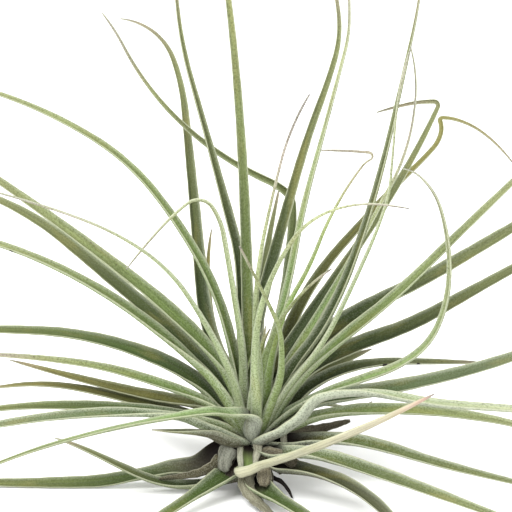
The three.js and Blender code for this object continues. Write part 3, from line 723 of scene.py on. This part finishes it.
# Waves to a millimetre, across a piece and along it.
STREAKS, BLOTCHES = (1.4, 0.04, 1), (0.2, 0.045, 1)
GRAIN, CRUMBS = (2.6, 1.9, 1), (0.9, 0.5, 1)
DRY_FIBRES, DRY_GRAIN = (1.3, 0.12, 1), (3.2, 2.4, 1)
BARK_FIBRES, BARK_PATCHES = (2.4, 0.12, 1), (0.35, 0.2, 1)
PAINTED_SHADE_REACH = 30  # painted shade darkens a hollow up to this far from the stem's middle at most
LEAF_RELIEF, SHEATH_RELIEF, BARK_RELIEF = 0.1, 0.1, 0.35


def leaf_paint(name, leaf):
    """A leaf's skin.

    Its colour runs from sheath to tip, with streaks along the leaf and soft blotches. Silver scales lie on
    it as a fine pale grain, thickest on the outer face. The margins are pale, partly a painted highlight,
    the sheath's hollow is darkened by painted shade near the stem, and the tip is dry.
    """
    skin = SKINS[leaf.skin]
    paint = Paint(name)
    _, share, across, upper = paint.parts("place")
    surface, _, away, _ = paint.parts("skin")
    streak = paint.noise(surface, STREAKS, 4.0, 0.65)
    blotch = paint.noise(surface, BLOTCHES, 3.0)

    # colours from sheath to tip, on either face
    place = paint.math("ADD", share, paint.math("MULTIPLY_ADD", blotch, 0.1, -0.05))
    ends = [(leaf.tip * 0.85, skin.far), (leaf.tip, skin.tip), (1, THREAD_COLOR)]
    outside = paint.ramp(place, [(0.0, skin.outer), (0.4, skin.outer), *ends])
    inside = paint.ramp(place, [(0.0, skin.inner), (0.3, skin.inner), *ends])
    color = paint.mix(upper, outside, inside)
    past = paint.math("SUBTRACT", away, leaf.bare * 0.25)
    dry = paint.math("MULTIPLY_ADD", blotch, leaf.bare * 0.5, past)
    color = paint.mix(paint.spread(dry, leaf.bare, leaf.bare * 0.45), color, skin.base)
    shade = paint.spread(streak, 0.3, 0.7, 0.74, 1.2)
    color = paint.mix(1.0, color, paint.add("CombineXYZ", {0: shade, 1: shade, 2: shade}), "MULTIPLY")
    color = paint.mix(paint.times(paint.spread(blotch, 0.52, 0.72), 0.3), color, YELLOWED)

    # silver scales
    grain = paint.noise(surface, GRAIN, 1.5)
    scales = paint.spread(grain, 0.48, 0.6)
    edge = paint.math("ABSOLUTE", across)
    cover = paint.math("MULTIPLY_ADD", upper, -0.55 * skin.frost, skin.frost)
    cover = paint.times(cover, paint.spread(edge, 0.2, 1.0, 0.6, 1.1))
    cover = paint.times(cover, paint.spread(share, 0.08, 0.45, 1.0, 0.6))
    color = paint.mix(paint.times(scales, cover), color, SCALES)
    color = paint.mix(paint.spread(edge, 0.45, 0.95, 0.0, 0.85 * skin.frost), color, SCALES)
    shadow = paint.times(paint.spread(grain, 0.5, 0.34), min(0.9 * skin.frost, 0.5))
    color = paint.mix(shadow, color, BETWEEN_SCALES)

    # pale margins with a painted highlight, painted shade over dead tissue in the sheath's hollow, crumbs
    # of soil and dead spots
    # painted highlight, partly the margin's own silver: a thin pale line along each edge
    color = paint.mix(paint.spread(edge, 0.86, 0.98, 0.0, 0.6), color, PALE_MARGIN_AND_HIGHLIGHT)
    # painted shade, partly the sheath's dead tissue: the inner face turns dark towards the stem's middle
    depth = min(leaf.bare, PAINTED_SHADE_REACH)
    hollow = paint.times(paint.spread(away, depth, depth * 0.4), upper)
    color = paint.mix(hollow, color, DEAD_TISSUE_AND_SHADE)
    soil = paint.noise(surface, CRUMBS, 1.0)
    color = paint.mix(paint.times(paint.spread(soil, 0.76, 0.82), 0.7), color, SOIL)
    for at, side, radius in leaf.marks:
        along = paint.times(paint.math("SUBTRACT", share, at), leaf.length / radius)
        beside = paint.times(paint.math("SUBTRACT", across, side), leaf.width / 2 / radius)
        apart = paint.math("SQRT", paint.math("MULTIPLY_ADD", along, along, paint.times(beside, beside)))
        ragged = paint.math("MULTIPLY_ADD", grain, 1.2, paint.math("SUBTRACT", apart, 0.6))
        color = paint.mix(paint.spread(ragged, 1.1, 0.8), color, DEAD_TISSUE_AND_SHADE)
    height = paint.math("MULTIPLY_ADD", scales, 0.35, paint.times(streak, 0.6))
    roughness = paint.spread(streak, 0.3, 0.7, 0.58, 0.74)
    return paint.finish(color, roughness, height, LEAF_RELIEF)


def bark_paint(name, dark, light):
    """Dry fibrous tissue: dark and light fibres along the piece, with torn darker patches."""
    paint = Paint(name)
    surface = paint.parts("skin")[0]
    fibre = paint.noise(surface, BARK_FIBRES, 5.0, 0.7)
    patch = paint.noise(surface, BARK_PATCHES, 4.0, 0.6)
    color = paint.mix(paint.spread(fibre, 0.3, 0.75), dark, light)
    color = paint.mix(paint.times(paint.spread(patch, 0.5, 0.75), 0.6), color, TORN_BARK)
    return paint.finish(color, 0.85, paint.math("MULTIPLY_ADD", patch, 0.5, fibre), BARK_RELIEF)


def sheath_paint(name, dark, light):
    """A dead leaf base: fibres from dark to light, a fine grain, paler margins and a dark inner face,
    partly painted shade.
    """
    paint = Paint(name)
    _, _, across, upper = paint.parts("place")
    surface = paint.parts("skin")[0]
    fibre = paint.noise(surface, DRY_FIBRES, 4.0, 0.6)
    grain = paint.noise(surface, DRY_GRAIN, 1.5)
    color = paint.mix(paint.spread(fibre, 0.32, 0.68), dark, light)
    color = paint.mix(paint.times(paint.spread(grain, 0.5, 0.64), 0.25), color, DRY_SCALES)
    color = paint.mix(paint.times(paint.spread(grain, 0.46, 0.36), 0.3), color, BETWEEN_DRY_SCALES)
    edge = paint.math("ABSOLUTE", across)
    color = paint.mix(paint.spread(edge, 0.8, 0.97, 0.0, 0.45), color, DRY_SCALES)
    # painted shade, partly dead tissue: the whole inner face is darkened
    color = paint.mix(paint.times(upper, 0.45), color, DEAD_TISSUE_AND_SHADE)
    return paint.finish(color, 0.8, fibre, SHEATH_RELIEF)


def dress(piece, paint, node):
    """Gives a piece its material and body, and lets it stand for its node of the model."""
    piece.data.materials.append(paint)
    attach(piece, "root")
    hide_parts(node)


for number, (name, leaf) in enumerate(LEAVES.items()):
    piece = make_leaf("blade_" + name, leaf, number + 1)
    dress(piece, leaf_paint("skin_" + name, leaf), "leaf_" + name)


# ---------------------------------------------------------------- core, old sheaths and dry root
AROUND = 32  # points round a tube


def make_tube(name, line, radius, flat, ridges, seed):
    """A closed tube round a line, with ridges along it.

    A ring holds r g (cos t, f sin t) for angles t all round, with r its radius, f the flattening and
    g = 1 + d cos(k t + s) + 0.6 d cos((2 k + 1) t + 2 s), where ridges is (d, k) and s the seed.
    """
    along = unit(np.gradient(line, axis=0))
    across = carried(along, unit(np.cross(along[0], (0.3, 0.2, 1.0)) + (0.01, 0, 0)))
    up = np.cross(along, across)
    angle = np.linspace(0, 2 * np.pi, AROUND, endpoint=False) + np.pi / AROUND
    depth, many = ridges
    swell = 1 + depth * np.cos(many * angle + seed)
    swell = swell + depth * 0.6 * np.cos((2 * many + 1) * angle + 2 * seed)
    reach = np.asarray(radius)[:, None] * swell
    rings = line[:, None] + across[:, None] * (reach * np.cos(angle))[..., None]
    rings = rings + up[:, None] * (reach * np.sin(angle) * flat)[..., None]
    rings[..., 2] = np.maximum(rings[..., 2], 0)
    piece = skin_rings(name, rings[:, ::-1])
    distance = np.concatenate([[0], np.cumsum(np.linalg.norm(np.diff(line, axis=0), axis=1))])
    keep(piece, "skin", (angle * np.mean(radius))[None, ::-1], distance[:, None], seed)
    return piece


CORE_PROFILE = [(3, 0), (4.2, 0.5), (4.6, 3), (4.4, 9), (3.6, 14), (2, 17), (0.3, 18)]  # radius, height
CORE_RINGS = 40


def make_core():
    """The woody core inside the leaf bases: its radius follows CORE_PROFILE up the stem."""
    radius, height = np.array(CORE_PROFILE).T
    z = np.linspace(0, height[-1], CORE_RINGS)
    line = np.stack([0 * z, 0 * z, z], -1)
    return make_tube("core", line, np.interp(z, height, radius), 1.0, (0.05, 9), 1.3)


ROOT_LINE = [(4.5, -4, 5.5), (7.3, -6.6, 5), (9.2, -8.2, 5), (11, -9.6, 3.8), (12.6, -11.4, 2),
             (13.4, -13.8, 0.9)]
ROOT_RINGS = 60
SOFTENING = 8  # the root's line is a mean over this many points to either side


def make_root():
    """The dry root: a flattened strap that leaves the stem's foot and hooks down to the surface."""
    knots = np.array(ROOT_LINE)
    share = np.linspace(0, 1, ROOT_RINGS)
    at = np.linspace(0, 1, len(knots))
    line = np.stack([np.interp(share, at, knots[:, k]) for k in range(3)], -1)
    window = np.hanning(2 * SOFTENING + 1)
    window = window / window.sum()
    padded = np.pad(line, ((SOFTENING, SOFTENING), (0, 0)), mode="reflect", reflect_type="odd")
    line = np.stack([np.convolve(padded[:, k], window, mode="valid") for k in range(3)], -1)
    radius = blend(1.7, 0.5, share ** 1.3) * (1 + 0.08 * np.sin(share * 19))
    return make_tube("dry_root", line, radius, 0.5, (0.1, 5), 2.1)


@dataclass
class Scrap:
    """What is left of an old leaf: a strip of dry sheath through some points, in millimetres."""

    points: list
    wide: float
    narrow: float
    side: tuple  # across the strip at its start
    dark: str
    light: str


SCRAPS = {
    "flap": Scrap([(3, -9, 14), (3.6, -14, 11.6), (3.6, -17, 9.2), (3.2, -18.4, 7)], 5.6, 4.4,
                  (-1, -0.2, 0), "#5a5343", "#8a826a"),
    "skirt": Scrap([(-2.4, -9, 11), (-2.8, -14, 8), (-2.2, -18, 6), (0.4, -23, 4.4), (4.4, -29, 3),
                    (9, -35.5, 1.6)], 6.4, 1.2, (-1, -0.2, -0.2), "#65624e", "#96947d"),
    "panel": Scrap([(-8.4, -7.6, 17.4), (-10, -9.4, 14.2), (-10.4, -10, 11.6), (-9.6, -10.4, 9.2)],
                   6.8, 3.6, (-1, -0.1, 0), "#76776a", "#a4a696"),
    "band": Scrap([(-12, -8, 13.4), (-15, -10.4, 11), (-19, -10.6, 9), (-25, -9.4, 7.2), (-34, -8, 5.6)],
                  4.4, 1, (0.3, 0.4, 1), "#46432f", "#6f6a50"),
    "left_rim": Scrap([(-4.8, -8.5, 17.6), (-4.9, -12, 16), (-4.6, -15, 14), (-4.8, -16.8, 12.2)], 2, 1.7,
                      (-1, 0, 0), "#8b8c76", "#bdbea8"),
    "right_rim": Scrap([(1.2, -7.5, 18.8), (1.4, -10, 17.4), (0.6, -13, 15.4), (0.5, -15.6, 13.2)],
                       3.2, 1.3, (-1, 0, 0), "#86836e", "#b7b6a0"),
    "hump": Scrap([(1.6, -9, 14.6), (5.4, -11, 16.4), (9.6, -12, 15.8), (13, -12.4, 14), (17, -12, 11.6)],
                  5.2, 3, (0.1, -0.5, -1), "#524c3b", "#7f7862"),
    "curl": Scrap([(10.4, -6, 23), (10.6, -8.5, 20), (11.8, -9.5, 17.6), (14.4, -9.5, 16.4)], 2.2, 1.4,
                  (-1, 0, 0), "#85826f", "#b7b6a0"),
    "husk": Scrap([(4, 1, 16), (14, 2, 18.6), (23, 3, 20), (35, 4, 23)], 5.4, 1.4,
                  (0, 0.4, 1), "#5b5544", "#8f8870"),
}
LEFT_OVER = 14  # more old sheaths round the foot
LEFT_OVER_COLORS = [("#2c221b", "#5d5040"), ("#4d4435", "#867c66")]
GOLDEN_ANGLE = 137.5
KNOT_POINTS = 24  # along a scrap, between two of its points
SCRAP_SPACING, SCRAP_TURN = 0.9, 10
SCRAP_HOLLOW, SCRAP_WALL = 0.19, 0.4
ROUNDING = 1.4  # a scrap's end is rounded off over this length


def make_scrap(name, scrap, seed):
    """A ragged strip from wide to narrow, its margins torn by a sum of sines and its end rounded off."""
    knots = np.array(scrap.points, float)
    line = curve_through(knots, unit(knots[1] - knots[0]), unit(knots[-1] - knots[-2]), KNOT_POINTS)
    distance, at = stations(line, SCRAP_SPACING, SCRAP_TURN)
    points = np.stack([np.interp(at, distance, line[:, k]) for k in range(3)], -1)
    along = unit(np.gradient(points, at, axis=0))
    across = carried(along, unit(np.array(scrap.side, float)))
    share = at / at[-1]
    torn = 1 + 0.07 * np.sin(at * 1.3 + seed) + 0.03 * np.sin(at * 3.1 + 2 * seed)
    round_end = np.clip((at[-1] - at) / ROUNDING, 0.3, 1) ** 0.5
    width = blend(scrap.wide, scrap.narrow, share**1.3) * torn * round_end
    channel, thick = SCRAP_HOLLOW + 0 * at, SCRAP_WALL + 0 * at
    return make_blade(name, points, across, along, width, channel, thick, share, seed)


def left_over_scraps():
    """Short sheaths that leave the core all round, each a golden angle on from the one before."""
    rng = np.random.default_rng(56)
    for number in range(LEFT_OVER):
        turn = np.radians(20 + GOLDEN_ANGLE * number)
        out, side = np.array([np.cos(turn), np.sin(turn), 0]), (-np.sin(turn), np.cos(turn), 0)
        low, high, far = rng.uniform(3, 8), rng.uniform(9, 14), rng.uniform(9, 15)
        points = [out * 3.4 + (0, 0, low), out * 5.4 + (0, 0, high),
                  out * (far * 0.75) + (0, 0, high - 0.5), out * far + (0, 0, high - rng.uniform(2, 5))]
        dark, light = LEFT_OVER_COLORS[number % 2]
        yield f"husk_{number + 1}", Scrap(points, rng.uniform(5, 7), rng.uniform(2, 4), side, dark, light)


dress(make_core(), bark_paint("core_bark", "#2b221b", "#655644"), "stem")
dress(make_root(), bark_paint("root_bark", "#171210", "#3a302a"), "root")
for number, (name, scrap) in enumerate([*SCRAPS.items(), *left_over_scraps()]):
    piece = make_scrap("old_" + name, scrap, number + 3)
    piece.data.materials.append(sheath_paint("dry_" + name, scrap.dark, scrap.light))
    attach(piece, "root")
